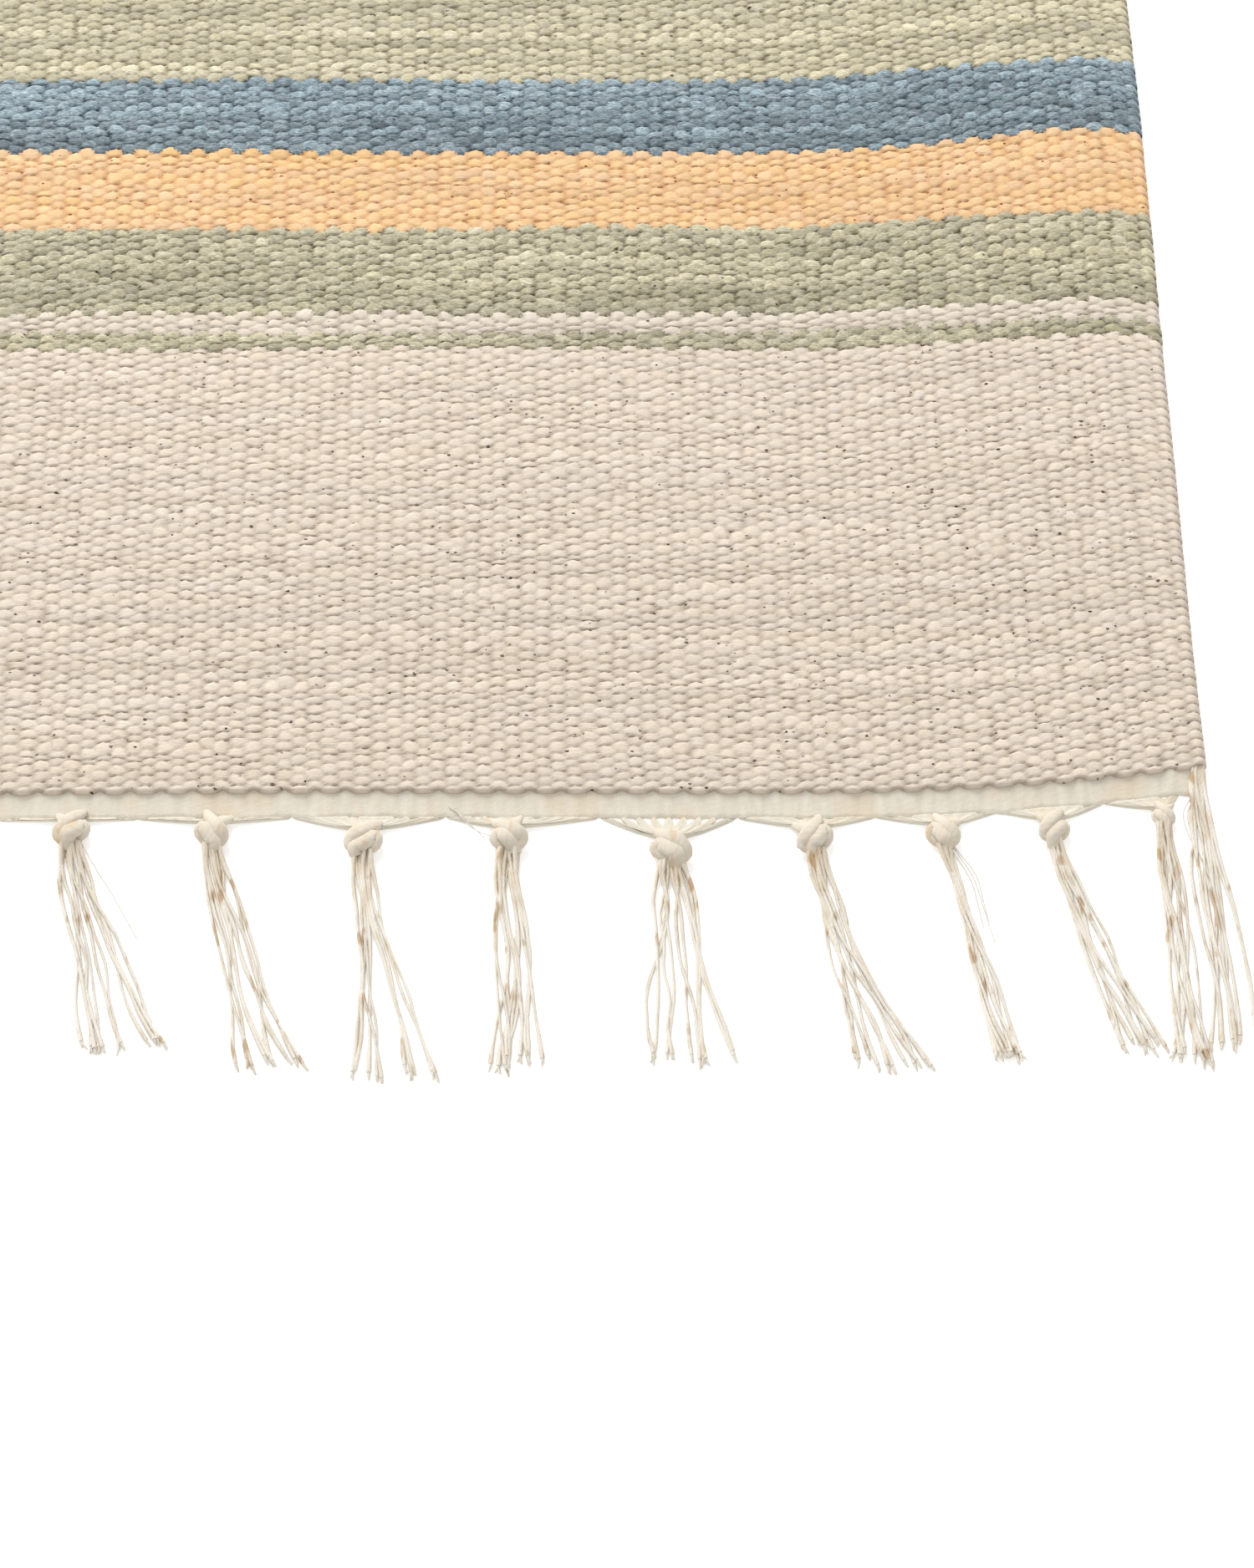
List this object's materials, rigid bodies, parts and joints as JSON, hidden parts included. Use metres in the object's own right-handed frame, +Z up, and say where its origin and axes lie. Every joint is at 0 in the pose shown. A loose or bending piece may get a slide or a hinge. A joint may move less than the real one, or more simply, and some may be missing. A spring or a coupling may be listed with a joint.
{
  "type": "kilim rug",
  "caption": "Small flat-woven cotton rug lying flat, with straight selvedges, bowed corners and knotted tassels along both short ends.",
  "frame": {"origin": "on the floor under the middle of the rug", "axes": "+Z up out of the rug's face, Y along the warps from one fringe to the other, X across the rug along the stripes; the near fringe is at -Y"},
  "size_m": [0.6102, 1.0636, 0.0064],
  "materials": {
    "woven_cotton": "matt weft-faced plain weave in natural beige with sage, cream, peach orange and dusty blue stripes",
    "warp_cotton_near": "matt off-white cotton warp yarn, gathered and knotted",
    "warp_cotton_far": "matt off-white cotton warp yarn, gathered and knotted"
  },
  "bodies": {
    "root": {"cloth": "woven_cotton", "fringe_near": "warp_cotton_near", "fringe_far": "warp_cotton_far"}
  },
  "joints": []
}
